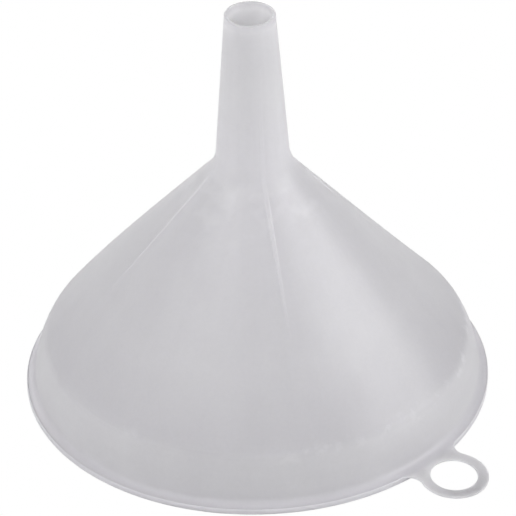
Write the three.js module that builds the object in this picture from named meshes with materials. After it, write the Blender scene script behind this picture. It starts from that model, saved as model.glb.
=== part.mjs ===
// Household funnel standing on its mouth: one translucent polypropylene moulding, divided at its
// natural features into a spout, a neck, a cone, a skirt, a rim flange, a hanging tab and vent ribs.
// Millimetres, +Z up along the funnel's axis. The origin is the centre of the mouth, at the plane the
// rim stands on, so the spout points up.
import * as THREE from "three";

// Driving dimensions
const HEIGHT = 136.2; // mouth plane to spout tip
const RIM_RADIUS = 75; // outer edge of the rim flange
const RIM_THICKNESS = 2.2;
const WALL = 1.6;
const FOOT_RADIUS = 71.9; // outside of the skirt where it meets the flange
const SHOULDER = { r: 68.0, z: 17.5 }; // outside corner between cone and skirt
const SPOUT_BASE = { r: 11.9, z: 82.3 }; // where the lines of spout and cone would cross
const TIP_RADIUS = 7.95; // outside of the spout at its tip
const NECK_FILLET = 14; // outside blend radius between spout and cone
const SKIRT_TURN = THREE.MathUtils.degToRad(30); // the skirt's lean from the axis at the shoulder; 0 at the foot

// Hanging tab: a flat ring that runs into the flange in two round corners and droops slightly
const TAB_AZIMUTH = THREE.MathUtils.degToRad(-43.7);
const TAB_CENTRE = 84.5; // funnel axis to the centre of the eye
const TAB_HOLE_RADIUS = 7.45;
const TAB_BAND = 3.5; // width of the band around the eye
const TAB_THICKNESS = 0.8;
const TAB_DROOP = THREE.MathUtils.degToRad(3.7);
const TAB_BLEND = 4.5; // radius of the corners between tab and flange

// Vent ribs: they keep a bottle's neck off the cone so that air can get out
const RIB_COUNT = 4;
const RIB_FIRST_AZIMUTH = THREE.MathUtils.degToRad(-75.5);
const RIB_WIDTH = 1.4;
const RIB_HEIGHT = 0.6; // proud of the wall at the neck, where the rib is highest
const RIB_END_HEIGHT = 0.25; // proud of the wall at both ends
const RIB_TOP_Z = 113; // upper end, on the spout
const RIB_FOOT_RADIUS = 48; // lower end, on the cone

const SEAT_GAP = 0.05; // a rib clears the wall it belongs to by this much
const TAB_GAP = 0.3; // the tab clears the flange it belongs to by this much
const SEGMENTS = 72; // facets around the axis
const NECK_STEPS = 6;
const SKIRT_STEPS = 6;

const POLYPROPYLENE = { color: 0xcdcccf, roughness: 0.42, metalness: 0 };

const point = (r, z) => new THREE.Vector2(r, z);

// --- Outside line of the wall, from the tip down to the foot ---

const spoutTop = point(TIP_RADIUS, HEIGHT);
const spoutCorner = point(SPOUT_BASE.r, SPOUT_BASE.z);
const shoulder = point(SHOULDER.r, SHOULDER.z);
const spoutDown = spoutCorner.clone().sub(spoutTop).normalize();
const coneDown = shoulder.clone().sub(spoutCorner).normalize();

// The neck's arc is tangent to the spout and to the cone.
const neckTurn = Math.acos(spoutDown.dot(coneDown));
const neckReach = NECK_FILLET * Math.tan(neckTurn / 2);
const neckTop = spoutCorner.clone().addScaledVector(spoutDown, -neckReach);
const neckFoot = spoutCorner.clone().addScaledVector(coneDown, neckReach);

// A point of the outside line with the unit normal that points out of the wall there.
const station = (position, normal) => ({ position, normal });
const outward = (down) => point(-down.y, down.x);

function neckStations() {
  const centre = neckTop.clone().addScaledVector(outward(spoutDown), NECK_FILLET);
  const start = outward(spoutDown);
  return Array.from({ length: NECK_STEPS + 1 }, (_, i) => {
    const normal = start.clone().rotateAround(point(0, 0), (neckTurn * i) / NECK_STEPS);
    return station(centre.clone().addScaledVector(normal, -NECK_FILLET), normal);
  });
}

// The skirt turns evenly from its lean at the shoulder to upright at the foot.
function skirtStations() {
  const foot = point(FOOT_RADIUS, RIM_THICKNESS);
  const chord = foot.clone().sub(shoulder);
  const radius = chord.length() / (2 * Math.sin(SKIRT_TURN / 2));
  const chordNormal = outward(chord.clone().normalize());
  const middle = shoulder.clone().add(foot).multiplyScalar(0.5);
  const centre = middle.addScaledVector(chordNormal, -radius * Math.cos(SKIRT_TURN / 2));
  return Array.from({ length: SKIRT_STEPS + 1 }, (_, i) => {
    const angle = SKIRT_TURN * (0.5 - i / SKIRT_STEPS);
    const normal = chordNormal.clone().rotateAround(point(0, 0), angle);
    return station(centre.clone().addScaledVector(normal, radius), normal);
  });
}

// --- Shells of revolution: each meets the next on a flat ring ---

// Radius of the inside wall at height z, found by stepping in from the outside line.
const horizontalWall = (down) => WALL / Math.cos(Math.atan2(down.x, -down.y));
const level = (outer, wall) => point(outer.x - wall, outer.y);

function shell(outer, inner) {
  const loop = [...inner, ...[...outer].reverse(), inner[0]];
  return new THREE.LatheGeometry(loop, SEGMENTS);
}

const spoutWall = horizontalWall(spoutDown);
const coneWall = horizontalWall(coneDown);

function spoutGeometry() {
  const outer = [spoutTop, neckTop];
  return shell(outer, outer.map((p) => level(p, spoutWall)));
}

function neckGeometry() {
  const stations = neckStations();
  const outer = stations.map((s) => s.position);
  const inner = outer.map((p, i) => {
    const share = i / (outer.length - 1);
    return level(p, THREE.MathUtils.lerp(spoutWall, coneWall, share));
  });
  return shell(outer, inner);
}

function coneGeometry() {
  const outer = [neckFoot, shoulder];
  return shell(outer, outer.map((p) => level(p, coneWall)));
}

function skirtGeometry() {
  const outer = skirtStations().map((s) => s.position);
  const inner = outer.map((p, i) => {
    const share = i / (outer.length - 1);
    return level(p, THREE.MathUtils.lerp(coneWall, WALL, share));
  });
  return shell(outer, inner);
}

function flangeGeometry() {
  const mouth = FOOT_RADIUS - WALL;
  const outer = [point(FOOT_RADIUS, RIM_THICKNESS), point(RIM_RADIUS, RIM_THICKNESS), point(RIM_RADIUS, 0)];
  return shell(outer, [point(mouth, RIM_THICKNESS), point(mouth, 0)]);
}

// --- Hanging tab, drawn flat: x runs out from the funnel's axis, y along the rim ---

function tabGeometry() {
  const end = TAB_HOLE_RADIUS + TAB_BAND;
  const root = RIM_RADIUS + TAB_GAP;
  // Corner blends: circles that touch the ring and the edge of the flange.
  const toAxis = root + TAB_BLEND;
  const toEye = end + TAB_BLEND;
  const blendX = (toAxis ** 2 - toEye ** 2 + TAB_CENTRE ** 2) / (2 * TAB_CENTRE);
  const blendY = Math.sqrt(toAxis ** 2 - blendX ** 2);
  const rootAngle = Math.atan2(blendY, blendX);
  const ringAngle = Math.atan2(blendY, blendX - TAB_CENTRE);
  const outline = new THREE.Shape();
  outline.absarc(0, 0, root, rootAngle, -rootAngle, true);
  outline.absarc(blendX, -blendY, TAB_BLEND, Math.PI - rootAngle, Math.PI - ringAngle, true);
  outline.absarc(TAB_CENTRE, 0, end, -ringAngle, ringAngle, false);
  outline.absarc(blendX, blendY, TAB_BLEND, ringAngle - Math.PI, rootAngle - Math.PI, true);
  outline.closePath();
  const hole = new THREE.Path();
  hole.absarc(TAB_CENTRE, 0, TAB_HOLE_RADIUS, 0, 2 * Math.PI, true);
  outline.holes.push(hole);
  const geometry = new THREE.ExtrudeGeometry(outline, {
    depth: TAB_THICKNESS,
    bevelEnabled: false,
    curveSegments: 20,
  });
  return geometry.translate(-RIM_RADIUS, 0, -TAB_THICKNESS);
}

// --- Vent rib, drawn in the plane of the axis and given its width across it ---

function ribGeometry() {
  const alongSpout = (RIB_TOP_Z - spoutTop.y) / spoutDown.y;
  const top = spoutTop.clone().addScaledVector(spoutDown, alongSpout);
  const alongCone = (RIB_FOOT_RADIUS - neckFoot.x) / coneDown.x;
  const foot = neckFoot.clone().addScaledVector(coneDown, alongCone);
  const neck = neckStations();
  const seats = [station(top, outward(spoutDown)), ...neck, station(foot, outward(coneDown))];
  const crest = (i) => (i === 0 || i === seats.length - 1 ? RIB_END_HEIGHT : RIB_HEIGHT);
  const lower = seats.map((s) => s.position.clone().addScaledVector(s.normal, SEAT_GAP));
  const upper = seats.map((s, i) => s.position.clone().addScaledVector(s.normal, crest(i)));
  const outline = new THREE.Shape([...lower, ...upper.reverse()]);
  const geometry = new THREE.ExtrudeGeometry(outline, { depth: RIB_WIDTH, bevelEnabled: false });
  geometry.translate(0, 0, -RIB_WIDTH / 2);
  return geometry.rotateX(Math.PI / 2);
}

// --- Assembly ---

function piece(name, geometry) {
  const mesh = new THREE.Mesh(geometry, new THREE.MeshStandardMaterial(POLYPROPYLENE));
  mesh.name = name;
  return mesh;
}

// LatheGeometry turns about +Y, so each shell is stood up to turn about +Z.
function turned(name, geometry) {
  return piece(name, geometry.rotateX(Math.PI / 2));
}

function hangingTab() {
  const hinge = new THREE.Group();
  hinge.position.set(RIM_RADIUS, 0, RIM_THICKNESS);
  hinge.rotation.y = TAB_DROOP;
  hinge.add(piece("hanging_tab", tabGeometry()));
  const arm = new THREE.Group();
  arm.rotation.z = TAB_AZIMUTH;
  arm.add(hinge);
  return arm;
}

function ventRib(index) {
  const rib = piece(`vent_rib_${index + 1}`, ribGeometry());
  rib.rotation.z = RIB_FIRST_AZIMUTH + (index * 2 * Math.PI) / RIB_COUNT;
  return rib;
}

const funnel = new THREE.Group();
funnel.add(turned("spout_tube", spoutGeometry()));
funnel.add(turned("neck", neckGeometry()));
funnel.add(turned("cone_body", coneGeometry()));
funnel.add(turned("skirt", skirtGeometry()));
funnel.add(turned("rim_flange", flangeGeometry()));
funnel.add(hangingTab());
for (let i = 0; i < RIB_COUNT; i += 1) {
  funnel.add(ventRib(i));
}

export default funnel;
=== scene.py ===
"""The looks of a household funnel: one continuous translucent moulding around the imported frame.

Metres, +Z up, the funnel standing on its mouth with the spout up. Sizes that the frame holds are read
from its nodes, and the rest are named here.
"""

import math

import bmesh
import bpy
from mathutils import Matrix, Quaternion, Vector


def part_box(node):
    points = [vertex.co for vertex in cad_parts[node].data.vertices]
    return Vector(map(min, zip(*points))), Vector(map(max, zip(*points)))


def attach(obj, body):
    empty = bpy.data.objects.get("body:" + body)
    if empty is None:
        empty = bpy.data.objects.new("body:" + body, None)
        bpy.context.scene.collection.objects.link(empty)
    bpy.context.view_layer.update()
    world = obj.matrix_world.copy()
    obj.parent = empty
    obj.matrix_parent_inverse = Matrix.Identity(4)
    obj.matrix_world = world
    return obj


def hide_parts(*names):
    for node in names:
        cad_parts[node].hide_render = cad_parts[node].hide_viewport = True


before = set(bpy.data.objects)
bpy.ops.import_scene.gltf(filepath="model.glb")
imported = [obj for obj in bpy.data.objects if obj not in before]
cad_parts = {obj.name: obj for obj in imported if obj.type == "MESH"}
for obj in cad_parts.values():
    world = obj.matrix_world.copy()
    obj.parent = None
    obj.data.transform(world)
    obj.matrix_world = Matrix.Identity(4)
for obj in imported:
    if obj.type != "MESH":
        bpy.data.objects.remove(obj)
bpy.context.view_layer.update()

MM = 0.001

# --- Wall and outline ---
TIP_RADIUS = 7.95 * MM  # outside of the spout at its tip
TIP_WALL = 0.95 * MM
NECK_WALL = 2.3 * MM
MOUTH_WALL = 1.3 * MM
SHOULDER_ROUND = 10.0 * MM  # rounding of the corner between cone and skirt
SKIRT_LEAN = math.radians(30)  # from the axis at the shoulder; upright at the foot
FOOT_FILLET = 2.8 * MM  # between skirt and flange
FOOT_CLEAR = 1.2  # the skirt's points stop this many fillet radii above the foot
ROW_GAP = 0.3 * MM  # the least height between two rows of points
EDGE_ROUND = 0.45 * MM  # rounding of the tip's and the flange's edges
MOUTH_ROUND = 0.5 * MM  # rounding of the mouth's inner edge
BULGE = 0.35 * MM  # how far the cone swells outwards below its middle
BOW = -0.8 * MM  # how far it shifts along X there: the thin moulding isn't quite true
DRIFT_POWER = 0.7  # under 1, the most bulge and bow lie below the cone's middle

# Steps along each run of the section
SPOUT_STEPS = 34
NECK_STEPS = 14
CONE_STEPS = 54
SHOULDER_STEPS = 6
SKIRT_STEPS = 20
ROUND_STEPS = 5
TIP_ROUND_STEPS = 4
TIP_FACE_STEPS = 3
FLANGE_TOP_STEPS = 4
FLANGE_FOOT_STEPS = 5
SHARP_ANGLE = math.radians(40)  # a steeper edge isn't shaded smooth

# --- Ribs ---
RIB_COUNT = 4
RIB_AZIMUTH = math.radians(-75.5)
RIB_HEIGHT = 0.34 * MM  # proud of the cone
RIB_SPOUT_HEIGHT = 0.09 * MM  # proud of the spout and the neck
RIB_RISE = 5.0 * MM  # how far down the cone a rib grows to its full height
RIB_HALF_WIDTH = 0.6 * MM  # at the neck
RIB_SPOUT_WIDTH = 0.75  # its width at the upper end, in widths at the neck
RIB_FOOT_WIDTH = 0.35  # the same at the lower end
RIB_FOOT = 50.0 * MM  # radius at which a rib has faded into the cone
RIB_TOP = 113.0 * MM  # height at which it has faded into the spout
RIB_SIDE = (  # a rib's section from its middle outwards: (half widths, share of its height)
    (0.5, 1), (0.8, 0.97), (1.0, 0.82), (1.2, 0.45), (1.4, 0.15), (1.7, 0.03), (2.2, 0))
RIB_SECTION = [(-x, h) for x, h in reversed(RIB_SIDE)] + [(0, 1)] + list(RIB_SIDE)
GAP_COLUMNS = 52  # columns of faces between two ribs

# --- Hanging tab ---
TAB_AZIMUTH = math.radians(-43.7)
TAB_CENTRE = 84.5 * MM  # funnel axis to the centre of the eye
TAB_HOLE = 7.45 * MM
TAB_BAND = 3.5 * MM  # width of the band around the eye
TAB_THICKNESS = 0.8 * MM
TAB_DROOP = math.radians(3.7)
TAB_BLEND = 4.5 * MM  # radius of the corners between tab and flange
TAB_EDGE = 0.26 * MM  # rounding of its edges
TAB_ROOT_DEPTH = 1.6 * MM  # how far the tab's root runs into the flange
TAB_SINK = 0.02 * MM  # keeps the tab's top from lying exactly in the flange's top
TAB_ROOT_STEPS = 16
TAB_BLEND_STEPS = 14
TAB_EYE_STEPS = 64
TAB_EDGE_STEPS = 3
WELD = 0.001 * MM  # corners of the tab's mesh closer than this become one

# --- Plastic ---
SCATTER = 6.0 * MM  # mean free path of light in the plastic, several walls long
SCATTER_TINT = (1.0, 1.0, 0.98)  # how far each colour travels, as a share of that
ROUGHNESS = 0.35
ROUGHNESS_SPREAD = 0.2
REFRACTION = 1.49
TONE_DEEP = (0.5, 0.487, 0.523)  # the colour at tone 0
TONE_LIGHT = (0.9, 0.88, 0.94)  # the colour at tone 1
TONE = 0.7

# Noises: (size, detail, roughness), a larger size number giving finer noise
STREAKS = (4.5, 3.0, 0.5)
CLOUDS = (55.0, 4.0, 0.7)
GRAIN = (900.0, 3.0, 0.7)
PATCHES = (115.0, 2.0, 0.5)
# painted highlights of the shoulder's rounding: bright specks, gathered in groups
SHOULDER_HIGHLIGHTS = (210.0, 3.0, 0.6)
SHOULDER_HIGHLIGHT_GROUPS = (25.0, 0.0, 0.5)
UNEVEN_FINISH = (120.0, 3.0, 0.5)
RELIEF = (90.0, 2.0, 0.5)
FLOW_RISE = 6.0  # the height's share in the streaks' coordinates; they run longer when it is smaller

# The noise values between which a patch or a painted highlight on the shoulder appears
PATCH_RAMP = (-0.02, 0.12)
SHOULDER_HIGHLIGHT_RAMP = (0.02, 0.15)
SHOULDER_HIGHLIGHT_GROUP_RAMP = (-0.05, 0.12)

# Where the tone changes, in millimetres above or outside the level named. Bands have four places: where
# they start, where they are full, where they stop being full and where they end. Ramps have two.
PATCH_BAND = (-15, -7, 0, 4)  # the neck's foot
SHOULDER_HIGHLIGHT_BAND = (-3, -1, 0, 2.5)  # the shoulder, where the highlight of its rounding is painted in specks
CREASE_PAINTED_SHADE_BAND = (-1.5, 1, 3, 20)  # the shoulder; painted shade on the cone's lowest part, just above it
FOOT_PAINTED_SHADE_BAND = (0, 1, 6, 10)  # the skirt's foot; painted shade low on the skirt, above the flange
NECK_PAINTED_LIGHT_START = (-2, 0)  # the neck's foot; painted light on the neck starts here
SPOUT_PAINTED_LIGHT_RAMP = (8, 25)  # the neck's top; painted light on the spout grows from there, and the neck's painted light ends there
TIP_PAINTED_SHADE_RAMP = (-2.5, -0.2)  # the tip; painted shade on the spout's top edge
BORE_PAINTED_LIGHT_RAMP = (-2, -9)  # the tip; painted light inside the bore, full from a little below the tip
BORE_PAINTED_LIGHT_SKIN = (0.9, 1.0)  # inwards from the tip's radius, in tip walls; where the bore's painted light lies
RIM_PAINTED_SHADE_BAND = (-2.5, -0.4, 0.2, 1.5)  # the rim's edge; painted shade on the flange there
TAB_ROOT_PAINTED_LIGHT_START = (-4, 0)  # the rim's edge; painted light on the tab's root starts here
TAB_ROOT_PAINTED_LIGHT_END = (-6, 0)  # the eye's centre; the tab root's painted light ends before it
TAB_END_PAINTED_SHADE_RAMP = (-2, 6)  # the eye's centre; painted shade on the tab's outer end

# What each noise and place adds to the tone. The streaks, clouds, grain and patches vary the plastic's own
# tone; the shoulder's specks and all the other places paint light and shade.
STREAK_STRENGTH = 0.15
CLOUD_STRENGTH = 0.14
GRAIN_STRENGTH = 0.11
PATCH_STRENGTH = 0.12
SHOULDER_HIGHLIGHT_STRENGTH = 0.18
CREASE_PAINTED_SHADE_STRENGTH = -0.2
FOOT_PAINTED_SHADE_STRENGTH = -0.05
NECK_PAINTED_LIGHT_STRENGTH = 0.06
SPOUT_PAINTED_LIGHT_STRENGTH = 0.15
TIP_PAINTED_SHADE_STRENGTH = -0.6
BORE_PAINTED_LIGHT_STRENGTH = 0.3
TAB_ROOT_PAINTED_LIGHT_STRENGTH = 0.22
TAB_END_PAINTED_SHADE_STRENGTH = -0.1
RIM_PAINTED_SHADE_STRENGTH = -0.3

GRAIN_RELIEF = 0.15
BUMP_STRENGTH = 0.1
BUMP_DEPTH = 0.4 * MM

# --- Camera: a long lens, looking down at the standing funnel ---
CAMERA_ELEVATION = math.radians(34.23)
CAMERA_ROLL = -0.0208
CAMERA_DISTANCE = 1.2776
CAMERA_AIM = Vector((0.00096, 0, 0.0455))
SENSOR = 36.0
LENS = 279.0
NEAREST = 0.05
FARTHEST = 50

# --- Light and floor ---
WORLD_LIGHT = 0.2
LIGHT_DISTANCE = 1.0
LIGHT_AIM = Vector((0, 0, 0.05))
LIGHTS = (  # name, azimuth, elevation, (width, height), watts
    ("left_high", 223, 45, (0.8, 0.4), 2.72),
    ("left_low", 208, 18, (0.9, 0.4), 1.42),
    ("left_flat", 175, 10, (0.6, 0.25), 0.54),
    ("front", 276, 33, (0.8, 0.5), 1.56),
    ("right_high", -30, 38, (0.25, 0.25), 0.83),
    ("right_middle", -12, 28, (0.35, 0.2), 1.38),
    ("right_end", 7, 20, (0.25, 0.2), 0.89),
    ("right_low", -15, 8, (0.8, 0.25), 1.78),
    ("back_left", 135, 22, (0.5, 0.4), 1.2),
    ("back", 90, 10, (0.8, 0.25), 3.3),
)
FLOOR_SIZE = 12.0
FLOOR_DROP = 0.2 * MM  # keeps the floor out of the rim's underside
FLOOR_PAPER = 0.93
BACKDROP = 1.0  # the plain white that the camera sees behind and below the funnel


def camera():
    data = bpy.data.cameras.new("camera")
    data.sensor_width = SENSOR
    data.lens = LENS
    data.clip_start = NEAREST
    data.clip_end = FARTHEST
    cam = bpy.data.objects.new("camera", data)
    bpy.context.collection.objects.link(cam)
    tilt = Quaternion((1, 0, 0), math.radians(90) - CAMERA_ELEVATION)
    roll = Quaternion((0, 0, 1), CAMERA_ROLL)
    back = Vector((0, -math.cos(CAMERA_ELEVATION), math.sin(CAMERA_ELEVATION)))
    cam.rotation_mode = "QUATERNION"
    cam.rotation_quaternion = tilt @ roll
    cam.location = CAMERA_AIM + back * CAMERA_DISTANCE
    bpy.context.scene.camera = cam


def on_sphere(azimuth, elevation):
    a = math.radians(azimuth)
    e = math.radians(elevation)
    return Vector((math.cos(e) * math.cos(a), math.cos(e) * math.sin(a), math.sin(e)))


def for_camera(tree, lighting, seen, socket):
    """Gives a socket one value for light on its way round the scene and another for what the camera sees."""
    path = tree.nodes.new("ShaderNodeLightPath")
    choice = tree.nodes.new("ShaderNodeMapRange")
    choice.inputs["To Min"].default_value = lighting
    choice.inputs["To Max"].default_value = seen
    tree.links.new(path.outputs["Is Camera Ray"], choice.inputs["Value"])
    tree.links.new(choice.outputs["Result"], socket)


def studio():
    scene = bpy.context.scene
    scene.view_settings.view_transform = "Standard"
    scene.view_settings.look = "None"
    world = bpy.data.worlds.new("studio")
    scene.world = world
    world.use_nodes = True
    background = world.node_tree.nodes["Background"]
    background.inputs["Color"].default_value = (1, 1, 1, 1)
    for_camera(world.node_tree, WORLD_LIGHT, BACKDROP, background.inputs["Strength"])
    for name, azimuth, elevation, size, power in LIGHTS:
        data = bpy.data.lights.new(name, "AREA")
        data.shape = "RECTANGLE"
        data.size, data.size_y = size
        data.energy = power
        lamp = bpy.data.objects.new(name, data)
        bpy.context.collection.objects.link(lamp)
        side = on_sphere(azimuth, elevation)
        lamp.location = LIGHT_AIM + side * LIGHT_DISTANCE
        lamp.rotation_mode = "QUATERNION"
        lamp.rotation_quaternion = (-side).to_track_quat("-Z", "Y")


def floor():
    """Pale paper that lights the funnel from below, and that the camera sees as plain white."""
    mesh = bpy.data.meshes.new("floor")
    half = FLOOR_SIZE / 2
    corners = [(-half, -half, 0), (half, -half, 0), (half, half, 0), (-half, half, 0)]
    mesh.from_pydata(corners, [], [(0, 1, 2, 3)])
    obj = bpy.data.objects.new("floor", mesh)
    bpy.context.collection.objects.link(obj)
    material = bpy.data.materials.new("floor_paper")
    material.use_nodes = True
    tree = material.node_tree
    shader = tree.nodes["Principled BSDF"]
    shader.inputs["Roughness"].default_value = 1.0
    shader.inputs["Specular IOR Level"].default_value = 0.0
    shader.inputs["Emission Color"].default_value = (1, 1, 1, 1)
    for_camera(tree, FLOOR_PAPER, 0, shader.inputs["Base Color"])
    for_camera(tree, 0, BACKDROP, shader.inputs["Emission Strength"])
    mesh.materials.append(material)
    obj.location.z = -FLOOR_DROP


# --- Outline helpers, in the plane (radius, height) ---
def mix(start, end, share):
    return start + (end - start) * share


def line(start, end, steps):
    """Points from start towards end, without the end."""
    return [start.lerp(end, i / steps) for i in range(steps)]


def arc_between(start, start_dir, end, end_dir, steps):
    """Points of the arc that leaves start along start_dir and reaches end along end_dir, without the end."""
    turn = -start_dir.angle_signed(end_dir)
    radius = (end - start).length / (2 * math.sin(abs(turn) / 2))
    side = Vector((-start_dir.y, start_dir.x)) * math.copysign(1, turn)
    centre = start + side * radius
    return [centre + Matrix.Rotation(turn * i / steps, 2) @ (start - centre) for i in range(steps)]


def rounded(before, corner, after, radius, steps):
    """The corner's rounding, from the side of before to the side of after, both ends included."""
    into = (corner - before).normalized()
    out = (after - corner).normalized()
    reach = radius * math.tan(into.angle(out) / 2)
    start = corner - into * reach
    end = corner + out * reach
    return arc_between(start, into, end, out, steps) + [end]


# --- The moulding's section: a closed loop from the tip down the outside and back up the inside ---
def high(node):
    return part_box(node)[1]


def low(node):
    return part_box(node)[0]


TIP = Vector((TIP_RADIUS, high("spout_tube").z))
NECK_TOP = Vector((high("spout_tube").x, low("spout_tube").z))
NECK_FOOT = Vector((high("neck").x, low("neck").z))
SHOULDER = Vector((high("cone_body").x, low("cone_body").z))
FOOT = Vector((high("skirt").x, low("skirt").z))
RIM_EDGE = Vector((high("rim_flange").x, high("rim_flange").z))
SPOUT_DOWN = (NECK_TOP - TIP).normalized()
CONE_DOWN = (SHOULDER - NECK_FOOT).normalized()
SKIRT_DOWN = Vector((math.sin(SKIRT_LEAN), -math.cos(SKIRT_LEAN)))
STRAIGHT_DOWN = Vector((0, -1))


def outside():
    """The outside line below the tip's edge, down to where the foot's fillet starts."""
    spout = line(TIP, NECK_TOP, SPOUT_STEPS)[1:]
    neck = arc_between(NECK_TOP, SPOUT_DOWN, NECK_FOOT, CONE_DOWN, NECK_STEPS)
    cone = line(NECK_FOOT, SHOULDER, CONE_STEPS)[:-1]
    shoulder = rounded(NECK_FOOT, SHOULDER, SHOULDER + SKIRT_DOWN, SHOULDER_ROUND, SHOULDER_STEPS)
    skirt = arc_between(SHOULDER, SKIRT_DOWN, FOOT, STRAIGHT_DOWN, SKIRT_STEPS)
    highest = shoulder[-1].y - ROW_GAP
    lowest = FOOT.y + FOOT_CLEAR * FOOT_FILLET
    return spout + neck + cone + shoulder + [p for p in skirt if lowest < p.y < highest]


def inside(points):
    """The outside moved in by the wall, which is thickest at the neck and thins towards both ends."""
    moved = []
    for before, p, after in zip([TIP] + points, points, points[1:] + [FOOT]):
        along = (after - before).normalized()
        if p.y > NECK_TOP.y:
            wall = mix(TIP_WALL, NECK_WALL, (TIP.y - p.y) / (TIP.y - NECK_TOP.y))
        else:
            wall = mix(NECK_WALL, MOUTH_WALL, (NECK_TOP.y - p.y) / NECK_TOP.y)
        moved.append(p + wall * Vector((along.y, -along.x)))
    return moved


def section():
    """(points of the closed loop, how many of them from the start can carry a rib)."""
    wall = outside()
    bore = Vector((TIP.x - TIP_WALL, TIP.y))
    rim_foot = Vector((RIM_EDGE.x, low("rim_flange").z))
    mouth = Vector((FOOT.x - MOUTH_WALL, rim_foot.y))
    loop = rounded(bore, TIP, NECK_TOP, EDGE_ROUND, TIP_ROUND_STEPS) + wall
    ribbed = len(loop)
    loop += rounded(FOOT - STRAIGHT_DOWN, FOOT, RIM_EDGE, FOOT_FILLET, ROUND_STEPS)
    loop += line(loop[-1], RIM_EDGE - Vector((EDGE_ROUND, 0)), FLANGE_TOP_STEPS)[1:]
    loop += rounded(FOOT, RIM_EDGE, rim_foot, EDGE_ROUND, ROUND_STEPS)
    loop += rounded(RIM_EDGE, rim_foot, mouth, EDGE_ROUND, ROUND_STEPS)
    loop += line(loop[-1], mouth + Vector((MOUTH_ROUND, 0)), FLANGE_FOOT_STEPS)[1:]
    loop += rounded(rim_foot, mouth, mouth - STRAIGHT_DOWN, MOUTH_ROUND, ROUND_STEPS)
    loop += list(reversed(inside(wall)))
    loop += rounded(bore + STRAIGHT_DOWN, bore, TIP, EDGE_ROUND, TIP_ROUND_STEPS)
    loop += line(loop[-1], loop[0], TIP_FACE_STEPS)[1:]
    return loop, ribbed


# --- The section turned about the axis, with its ribs, bulge and bow ---
def crest(p):
    """(how far a rib stands out of the wall, its half width) at a point of the outside line."""
    height = RIB_SPOUT_HEIGHT
    share = 1
    narrow = 1
    if p.y >= NECK_TOP.y:
        share = (RIB_TOP - p.y) / (RIB_TOP - NECK_TOP.y)
        narrow = RIB_SPOUT_WIDTH
    elif p.x > NECK_FOOT.x:
        share = (RIB_FOOT - p.x) / (RIB_FOOT - NECK_FOOT.x)
        narrow = RIB_FOOT_WIDTH
        grown = min((p.x - NECK_FOOT.x) / RIB_RISE, 1)
        height = mix(RIB_SPOUT_HEIGHT, RIB_HEIGHT, grown)
    share = min(max(share, 0), 1)
    return height * share, RIB_HALF_WIDTH * mix(narrow, 1, share)


def columns_around(radius, half_width):
    """(azimuth, share of the rib's height) of every column. A rib's columns follow its width."""
    quarter = 2 * math.pi / RIB_COUNT
    reach = RIB_SIDE[-1][0] * half_width
    gap = quarter - 2 * reach / radius
    places = []
    for rib in range(RIB_COUNT):
        middle = RIB_AZIMUTH + rib * quarter
        first = middle + reach / radius
        places += [(middle + x * half_width / radius, share) for x, share in RIB_SECTION]
        places += [(first + gap * i / GAP_COLUMNS, 0) for i in range(1, GAP_COLUMNS)]
    return places


def out_of_true(z):
    """0 at both ends of the cone and 1 where the thin moulding has moved the most."""
    share = (z - SHOULDER.y) / (NECK_FOOT.y - SHOULDER.y)
    return math.sin(math.pi * min(max(share, 0), 1) ** DRIFT_POWER)


def turned_grid(loop, ribbed):
    vertices = []
    for row, p in enumerate(loop):
        along = (loop[(row + 1) % len(loop)] - loop[row - 1]).normalized()
        out = Vector((-along.y, along.x))
        height, half_width = crest(p)
        if row >= ribbed:
            height = 0
        for azimuth, share in columns_around(p.x, half_width):
            moved = p + out * height * share
            drift = out_of_true(moved.y)
            radius = moved.x + BULGE * drift
            x = radius * math.cos(azimuth) + BOW * drift
            vertices.append((x, radius * math.sin(azimuth), moved.y))
    columns = len(vertices) // len(loop)
    faces = []
    for row in range(len(loop)):
        here = row * columns
        below = (row + 1) % len(loop) * columns
        for column in range(columns):
            beside = (column + 1) % columns
            faces.append((here + column, below + column, below + beside, here + beside))
    mesh = bpy.data.meshes.new("funnel_wall")
    mesh.from_pydata(vertices, [], faces)
    return mesh


# --- Hanging tab ---
def angles(start, end, steps):
    return [start + (end - start) * i / steps for i in range(steps + 1)]


def circle_points(x, y, radius, turns):
    return [(x + radius * math.cos(a), y + radius * math.sin(a)) for a in turns]


def tab_outline():
    """The tab drawn flat, x out from the funnel's axis: a root, a corner, the band's outside, a corner."""
    end = TAB_HOLE + TAB_BAND
    root = RIM_EDGE.x
    to_axis = root + TAB_BLEND
    to_hole = end + TAB_BLEND
    blend_x = (to_axis ** 2 - to_hole ** 2 + TAB_CENTRE ** 2) / (2 * TAB_CENTRE)
    blend_y = math.sqrt(to_axis ** 2 - blend_x ** 2)
    root_angle = math.atan2(blend_y, blend_x)
    band_angle = math.atan2(blend_y, blend_x - TAB_CENTRE)
    points = circle_points(0, 0, root - TAB_ROOT_DEPTH, angles(root_angle, -root_angle, TAB_ROOT_STEPS))
    corner = angles(math.pi - root_angle, math.pi - band_angle, TAB_BLEND_STEPS)
    blend = circle_points(blend_x, -blend_y, TAB_BLEND, corner)
    points += blend
    points += circle_points(TAB_CENTRE, 0, end, angles(-band_angle, band_angle, TAB_EYE_STEPS)[1:-1])
    points += [(x, -y) for x, y in reversed(blend)]
    return points


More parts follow.
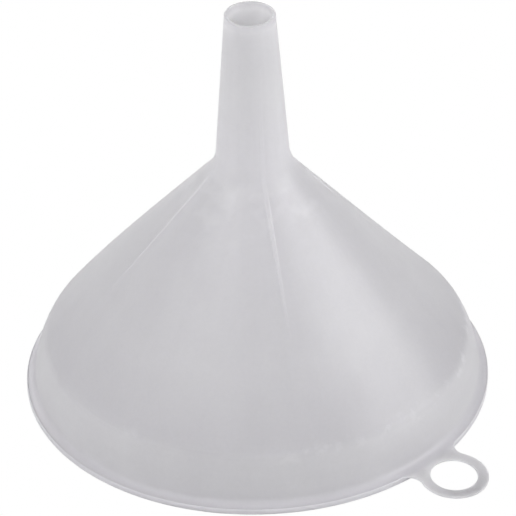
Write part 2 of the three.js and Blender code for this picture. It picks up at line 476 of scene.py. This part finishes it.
def hanging_tab():
    """A plate with rounded edges, made from a filled curve and hinged down at the flange's edge."""
    data = bpy.data.curves.new("tab", "CURVE")
    data.dimensions = "2D"
    data.fill_mode = "BOTH"
    data.extrude = TAB_THICKNESS / 2 - TAB_EDGE
    data.bevel_depth = TAB_EDGE
    data.offset = -TAB_EDGE
    data.bevel_resolution = TAB_EDGE_STEPS
    hole = circle_points(TAB_CENTRE, 0, TAB_HOLE, angles(0, 2 * math.pi, TAB_EYE_STEPS)[:-1])
    for points in (tab_outline(), hole):
        spline = data.splines.new("POLY")
        spline.points.add(len(points) - 1)
        for target, (x, y) in zip(spline.points, points):
            target.co = (x - RIM_EDGE.x, y, 0, 1)
        spline.use_cyclic_u = True
    curve = bpy.data.objects.new("tab_curve", data)
    bpy.context.collection.objects.link(curve)
    bpy.context.view_layer.update()
    mesh = bpy.data.meshes.new_from_object(curve.evaluated_get(bpy.context.evaluated_depsgraph_get()))
    bpy.data.objects.remove(curve)
    bpy.data.curves.remove(data)
    hinge = Matrix.Translation((RIM_EDGE.x, 0, RIM_EDGE.y - TAB_SINK))
    place = Matrix.Rotation(TAB_AZIMUTH, 4, "Z") @ hinge @ Matrix.Rotation(TAB_DROOP, 4, "Y")
    mesh.transform(place @ Matrix.Translation((0, 0, -TAB_THICKNESS / 2)))
    clean = bmesh.new()
    clean.from_mesh(mesh)
    bmesh.ops.remove_doubles(clean, verts=clean.verts, dist=WELD)
    bmesh.ops.recalc_face_normals(clean, faces=clean.faces)
    clean.to_mesh(mesh)
    clean.free()
    return mesh


def moulding():
    """The turned wall and the tab, joined into one closed mesh."""
    loop, ribbed = section()
    wall = bpy.data.objects.new("funnel_moulding", turned_grid(loop, ribbed))
    tab = bpy.data.objects.new("tab", hanging_tab())
    for obj in (wall, tab):
        bpy.context.collection.objects.link(obj)
    join = wall.modifiers.new("join", "BOOLEAN")
    join.operation = "UNION"
    join.solver = "MANIFOLD"
    join.object = tab
    bpy.context.view_layer.update()
    joined = bpy.data.meshes.new_from_object(wall.evaluated_get(bpy.context.evaluated_depsgraph_get()))
    wall.modifiers.clear()
    wall.data = joined
    joined.name = "funnel_moulding"
    bpy.data.objects.remove(tab)
    joined.shade_smooth()
    joined.set_sharp_from_angle(angle=SHARP_ANGLE)
    return wall


# --- Material: milky natural polypropylene ---
class Nodes:
    """Short calls for building a material's node tree."""

    def __init__(self, material):
        material.use_nodes = True
        self.tree = material.node_tree
        self.shader = self.tree.nodes["Principled BSDF"]

    def add(self, kind, **values):
        node = self.tree.nodes.new("ShaderNode" + kind)
        for name, value in values.items():
            node.inputs[name].default_value = value
        return node

    def link(self, source, target):
        self.tree.links.new(source, target)

    def math(self, operation, *operands):
        node = self.add("Math")
        node.operation = operation
        for socket, operand in zip(node.inputs, operands):
            if isinstance(operand, (int, float)):
                socket.default_value = operand
            else:
                self.link(operand, socket)
        return node.outputs[0]

    def vector_math(self, operation, *operands):
        node = self.add("VectorMath")
        node.operation = operation
        for socket, operand in zip(node.inputs, operands):
            self.link(operand, socket)
        return node.outputs

    def noise(self, place, kind):
        """Soft noise about 0, mostly within -0.2 to 0.2."""
        size, detail, roughness = kind
        node = self.add("TexNoise", Scale=size, Detail=detail, Roughness=roughness)
        self.link(place, node.inputs["Vector"])
        return self.math("SUBTRACT", node.outputs["Fac"], 0.5)

    def ramp(self, value, start, end):
        """0 at start, 1 at end, held beyond them."""
        node = self.add("MapRange")
        node.inputs["From Min"].default_value = start
        node.inputs["From Max"].default_value = end
        self.link(value, node.inputs["Value"])
        return node.outputs["Result"]

    def band(self, value, low_end, low_full, high_full, high_end):
        """1 between the two full limits, falling to 0 at the ends."""
        rising = self.ramp(value, low_end, low_full)
        return self.math("MULTIPLY", rising, self.ramp(value, high_end, high_full))

    def total(self, start, *parts):
        """The start plus every (value, strength) pair multiplied out."""
        result = start
        for value, strength in parts:
            result = self.math("ADD", result, self.math("MULTIPLY", value, strength))
        return result


def near(level, distances):
    """Heights or radii that many millimetres above or outside a level of the funnel."""
    return [level + distance * MM for distance in distances]


def flow_place(n, place):
    """(coordinates drawn out along the wall, height, radius). Noise in the first runs down the funnel."""
    parts = n.add("SeparateXYZ")
    n.link(place, parts.inputs["Vector"])
    height = parts.outputs["Z"]
    level = n.add("CombineXYZ")
    n.link(parts.outputs["X"], level.inputs["X"])
    n.link(parts.outputs["Y"], level.inputs["Y"])
    rise = n.add("CombineXYZ")
    n.link(n.math("MULTIPLY", height, FLOW_RISE), rise.inputs["Z"])
    spoke = n.vector_math("NORMALIZE", level.outputs["Vector"])["Vector"]
    flow = n.vector_math("ADD", spoke, rise.outputs["Vector"])["Vector"]
    return flow, height, n.vector_math("LENGTH", level.outputs["Vector"])["Value"]


def tone_parts(n, place, grain):
    """Every (value, strength) that makes the plastic lighter or darker: the noises and patches vary its own
    tone, the shoulder's specks are painted highlights, the bands at the crease, foot, rim, tip and tab's end
    paint shade, and those at the neck, spout, bore and tab's root paint light.
    """
    flow, height, radius = flow_place(n, place)
    patches = n.ramp(n.noise(place, PATCHES), *PATCH_RAMP)
    # painted highlights along the shoulder's rounding
    highlight_groups = n.ramp(n.noise(place, SHOULDER_HIGHLIGHT_GROUPS), *SHOULDER_HIGHLIGHT_GROUP_RAMP)
    painted_highlights = n.math("MULTIPLY", n.ramp(n.noise(place, SHOULDER_HIGHLIGHTS), *SHOULDER_HIGHLIGHT_RAMP), highlight_groups)

    below_neck = n.band(height, *near(NECK_FOOT.y, PATCH_BAND))
    shoulder = n.band(height, *near(SHOULDER.y, SHOULDER_HIGHLIGHT_BAND))
    # painted shade on the cone just above the shoulder
    crease_shade = n.band(height, *near(SHOULDER.y, CREASE_PAINTED_SHADE_BAND))
    # painted shade low on the skirt
    foot_shade = n.band(height, *near(FOOT.y, FOOT_PAINTED_SHADE_BAND))
    # painted light on the neck
    neck = n.band(height, *near(NECK_FOOT.y, NECK_PAINTED_LIGHT_START), *near(NECK_TOP.y, SPOUT_PAINTED_LIGHT_RAMP))
    # painted light on the spout
    spout = n.ramp(height, *near(NECK_TOP.y, SPOUT_PAINTED_LIGHT_RAMP))
    # painted shade on the tip's top edge
    tip_shade = n.ramp(height, *near(TIP.y, TIP_PAINTED_SHADE_RAMP))

    # painted shade on the flange at the rim's edge
    rim_shade = n.band(radius, *near(RIM_EDGE.x, RIM_PAINTED_SHADE_BAND))
    # painted light on the tab's root
    tab_root_light = n.band(radius, *near(RIM_EDGE.x, TAB_ROOT_PAINTED_LIGHT_START), *near(TAB_CENTRE, TAB_ROOT_PAINTED_LIGHT_END))
    # painted shade on the tab's outer end
    tab_end_shade = n.ramp(radius, *near(TAB_CENTRE, TAB_END_PAINTED_SHADE_RAMP))
    # painted light inside the bore
    inner_skin = n.ramp(radius, *[TIP.x - share * TIP_WALL for share in BORE_PAINTED_LIGHT_SKIN])
    bore = n.math("MULTIPLY", inner_skin, n.ramp(height, *near(TIP.y, BORE_PAINTED_LIGHT_RAMP)))

    return (
        (n.noise(flow, STREAKS), STREAK_STRENGTH),
        (n.noise(place, CLOUDS), CLOUD_STRENGTH),
        (grain, GRAIN_STRENGTH),
        (n.math("MULTIPLY", below_neck, patches), PATCH_STRENGTH),
        (n.math("MULTIPLY", shoulder, painted_highlights), SHOULDER_HIGHLIGHT_STRENGTH),
        (crease_shade, CREASE_PAINTED_SHADE_STRENGTH),
        (foot_shade, FOOT_PAINTED_SHADE_STRENGTH),
        (rim_shade, RIM_PAINTED_SHADE_STRENGTH),
        (tab_root_light, TAB_ROOT_PAINTED_LIGHT_STRENGTH),
        (tab_end_shade, TAB_END_PAINTED_SHADE_STRENGTH),
        (neck, NECK_PAINTED_LIGHT_STRENGTH),
        (spout, SPOUT_PAINTED_LIGHT_STRENGTH),
        (tip_shade, TIP_PAINTED_SHADE_STRENGTH),
        (bore, BORE_PAINTED_LIGHT_STRENGTH),
    )


def polypropylene():
    material = bpy.data.materials.new("natural_polypropylene")
    n = Nodes(material)
    place = n.add("TexCoord").outputs["Object"]
    grain = n.noise(place, GRAIN)

    shade = n.add("Mix")
    shade.data_type = "RGBA"
    shade.inputs["A"].default_value = (*TONE_DEEP, 1)
    shade.inputs["B"].default_value = (*TONE_LIGHT, 1)
    n.link(n.total(TONE, *tone_parts(n, place, grain)), shade.inputs["Factor"])
    n.link(shade.outputs["Result"], n.shader.inputs["Base Color"])

    finish = n.noise(place, UNEVEN_FINISH)
    n.link(n.total(ROUGHNESS, (finish, ROUGHNESS_SPREAD)), n.shader.inputs["Roughness"])
    bump = n.add("Bump", Strength=BUMP_STRENGTH, Distance=BUMP_DEPTH)
    n.link(n.total(n.noise(place, RELIEF), (grain, GRAIN_RELIEF)), bump.inputs["Height"])
    n.link(bump.outputs["Normal"], n.shader.inputs["Normal"])

    n.shader.inputs["IOR"].default_value = REFRACTION
    n.shader.inputs["Subsurface Weight"].default_value = 1.0
    n.shader.inputs["Subsurface Radius"].default_value = SCATTER_TINT
    n.shader.inputs["Subsurface Scale"].default_value = SCATTER
    return material


camera()
studio()
floor()
funnel = moulding()
funnel.data.materials.clear()
funnel.data.materials.append(polypropylene())
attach(funnel, "root")
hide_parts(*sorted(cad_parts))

bpy.context.view_layer.update()
